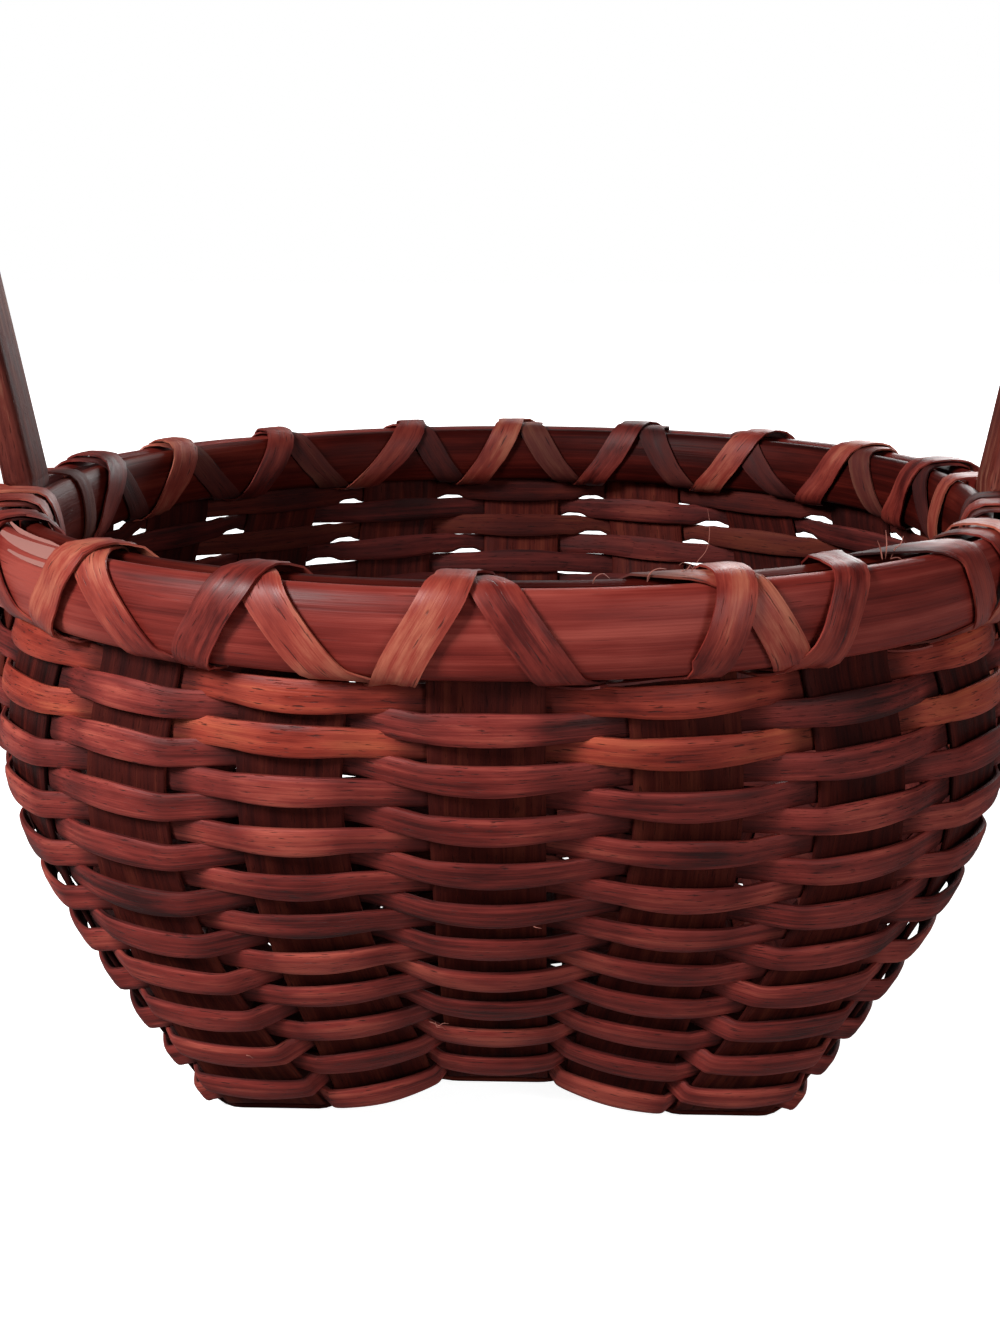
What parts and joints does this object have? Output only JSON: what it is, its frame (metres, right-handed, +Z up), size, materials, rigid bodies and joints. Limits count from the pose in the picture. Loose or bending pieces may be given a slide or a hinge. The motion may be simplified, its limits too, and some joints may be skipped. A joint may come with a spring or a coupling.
{
  "type": "berry basket",
  "caption": "Small woven splint berry basket with a square lifted base, a round lashed double rim and a fixed overhead hoop handle.",
  "frame": {"origin": "centre of the plane that the basket rests on", "axes": "+Z up along the basket's height; the handle stands in the XZ plane, its feet at +X and -X; -Y is the side the picture is taken from"},
  "size_m": [0.2148, 0.2034, 0.28],
  "materials": {
    "splint": "dark reddish brown stain, dry satin",
    "weaver": "reddish brown stain, satin",
    "bright_weaver": "lighter orange red stain, satin",
    "rim": "reddish brown stain, satin",
    "lashing": "light red brown stain, satin",
    "handle": "dark brown stain, satin"
  },
  "bodies": {
    "root": {"splint_lengthwise_1": "splint", "splint_lengthwise_2": "splint", "splint_lengthwise_3": "splint", "splint_lengthwise_4": "splint", "splint_lengthwise_5": "splint", "splint_crosswise_1": "splint", "splint_crosswise_2": "splint", "splint_crosswise_3": "splint", "splint_crosswise_4": "splint", "splint_crosswise_5": "splint", "weaver_row_01": "weaver", "weaver_row_02": "weaver", "weaver_row_03": "weaver", "weaver_row_04": "weaver", "weaver_row_05": "weaver", "weaver_row_06": "weaver", "weaver_row_07": "weaver", "weaver_row_08": "weaver", "weaver_row_09": "weaver", "weaver_row_10": "weaver", "weaver_row_11": "weaver", "weaver_row_12": "weaver", "weaver_row_13": "weaver", "weaver_row_14": "weaver", "weaver_row_15": "weaver", "weaver_row_16": "weaver", "weaver_row_17": "weaver", "weaver_row_18": "weaver", "weaver_row_19": "bright_weaver", "weaver_row_20": "weaver", "weaver_row_21": "bright_weaver", "rim_outer": "rim", "rim_inner": "rim", "handle": "handle", "lashing_backward": "lashing", "lashing_forward": "lashing"}
  },
  "joints": []
}
